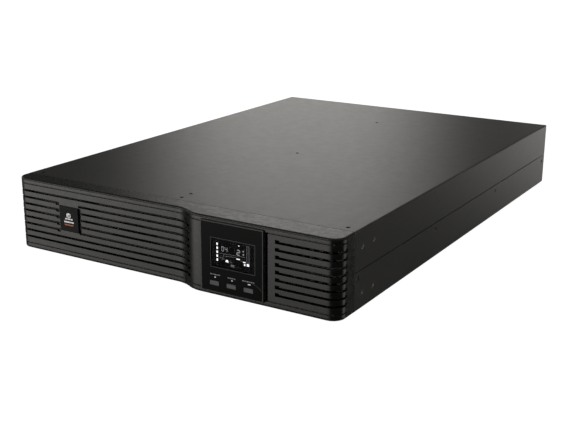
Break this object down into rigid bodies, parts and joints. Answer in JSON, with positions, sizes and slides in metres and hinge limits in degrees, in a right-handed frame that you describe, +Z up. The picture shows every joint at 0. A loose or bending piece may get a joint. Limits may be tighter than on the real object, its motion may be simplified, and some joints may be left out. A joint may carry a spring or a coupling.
{
  "type": "uninterruptible power supply",
  "caption": "Flat black rack-mount uninterruptible power supply with a slotted front bezel, a square display that turns, a sliding battery tray, rear fans and outlets.",
  "frame": {"origin": "middle of the case's underside", "axes": "+X to the right as seen from the front, +Y to the back, +Z up"},
  "size_m": [0.438, 0.652, 0.0855],
  "materials": {
    "case_paint": "fine-texture satin black powder coat",
    "zinc_steel": "zinc-plated sheet",
    "bezel_plastic": "fine-spark black",
    "badge_plastic": "satin dark grey",
    "display_plastic": "satin black",
    "overlay_gloss": "smoked gloss",
    "lcd_glass": "dark display glass",
    "button_plastic": "satin grey",
    "board_laminate": "green solder mask",
    "component_plastic": "moulded black",
    "cable_rubber": "sheathed",
    "light_pipe": "clear white",
    "bright_screw": "nickel-plated",
    "black_screw": "black oxide",
    "brass_post": "turned brass",
    "battery_case": "moulded grey-black",
    "connector_grey": "moulded grey",
    "strap_webbing": "woven",
    "capacitor_sleeve": "shrink sleeve",
    "sink_aluminium": "extruded",
    "copper_winding": "enamelled copper wire",
    "core_steel": "varnished laminations",
    "guard_wire": "plated wire",
    "outlet_plastic": "moulded black",
    "breaker_cap": "moulded off-white",
    "port_metal": "tinned shell",
    "terminal_green": "moulded green",
    "fan_plastic": "glass-filled black"
  },
  "bodies": {
    "chassis": {"battery_socket": "connector_grey", "bay_divider": "zinc_steel", "board_standoffs": "brass_post", "breaker_body": "component_plastic", "bus_capacitors": "capacitor_sleeve", "card_slot_cover": "case_paint", "charger_board": "board_laminate", "charger_transformer": "core_steel", "chassis_base": "case_paint", "chokes": "copper_winding", "control_board": "board_laminate", "dc_cables": "cable_rubber", "display_header": "component_plastic", "ear_inserts": "bright_screw", "fan_a_frame": "fan_plastic", "fan_b_frame": "fan_plastic", "fan_guards": "guard_wire", "front_frame": "zinc_steel", "ground_stud": "brass_post", "heat_sinks": "sink_aluminium", "main_board": "board_laminate", "network_ports": "component_plastic", "outlets": "outlet_plastic", "power_inlet": "outlet_plastic", "power_transistors": "component_plastic", "rear_panel": "case_paint", "rear_screws": "black_screw", "relays": "component_plastic", "remote_off_terminal": "terminal_green", "serial_port": "port_metal", "side_screws": "black_screw", "top_cover": "case_paint", "top_screws": "black_screw", "transformer_coil": "copper_winding", "transformer_core": "core_steel", "usb_port": "port_metal"},
    "bezel": {"front_bezel": "bezel_plastic", "badge": "badge_plastic", "bezel_studs": "bright_screw", "display_cable": "cable_rubber"},
    "display_slider": {"display_carrier": "display_plastic"},
    "display": {"display_housing": "display_plastic", "display_overlay": "overlay_gloss", "lcd_panel": "lcd_glass", "display_board": "board_laminate", "display_back": "display_plastic", "tact_switches": "component_plastic", "indicator_lights": "light_pipe"},
    "button_left": {"button_left": "button_plastic"},
    "button_middle": {"button_middle": "button_plastic"},
    "button_right": {"button_right": "button_plastic"},
    "battery_pack": {"battery_tray": "zinc_steel", "battery_blocks": "battery_case", "battery_strap": "zinc_steel", "battery_plug": "connector_grey", "pull_strap": "strap_webbing", "thumb_screws": "bright_screw"},
    "fan_a_rotor": {"fan_a_rotor": "fan_plastic"},
    "fan_b_rotor": {"fan_b_rotor": "fan_plastic"},
    "breaker_button": {"breaker_button": "breaker_cap"}
  },
  "joints": [
    {"name": "bezel_pull", "type": "slide", "parent": "chassis", "child": "bezel", "axis": [0, -1, 0], "range_m": [0, 0.4]},
    {"name": "battery_slide", "type": "slide", "parent": "chassis", "child": "battery_pack", "axis": [0, -1, 0], "range_m": [0, 0.32]},
    {"name": "display_pull", "type": "slide", "parent": "bezel", "child": "display_slider", "axis": [0, -1, 0], "range_m": [0, 0.012]},
    {"name": "display_turn", "type": "hinge", "parent": "display_slider", "child": "display", "pos_m": [0.0948, -0.3357, 0.04275], "axis": [0, 1, 0], "range_deg": [0, 90]},
    {"name": "button_left_press", "type": "slide", "parent": "display", "child": "button_left", "axis": [0, 1, 0], "range_m": [0, 0.0005]},
    {"name": "button_middle_press", "type": "slide", "parent": "display", "child": "button_middle", "axis": [0, 1, 0], "range_m": [0, 0.0005]},
    {"name": "button_right_press", "type": "slide", "parent": "display", "child": "button_right", "axis": [0, 1, 0], "range_m": [0, 0.0005]},
    {"name": "fan_a_spin", "type": "hinge", "parent": "chassis", "child": "fan_a_rotor", "pos_m": [-0.172, 0.2893, 0.04275], "axis": [0, 1, 0], "continuous": true},
    {"name": "fan_b_spin", "type": "hinge", "parent": "chassis", "child": "fan_b_rotor", "pos_m": [-0.088, 0.2893, 0.04275], "axis": [0, 1, 0], "continuous": true},
    {"name": "breaker_trip", "type": "slide", "parent": "chassis", "child": "breaker_button", "axis": [0, 1, 0], "range_m": [0, 0.003]}
  ],
  "couplings": [
    {"joint": "battery_slide", "follows": "bezel_pull", "ratio": 0.8}
  ]
}
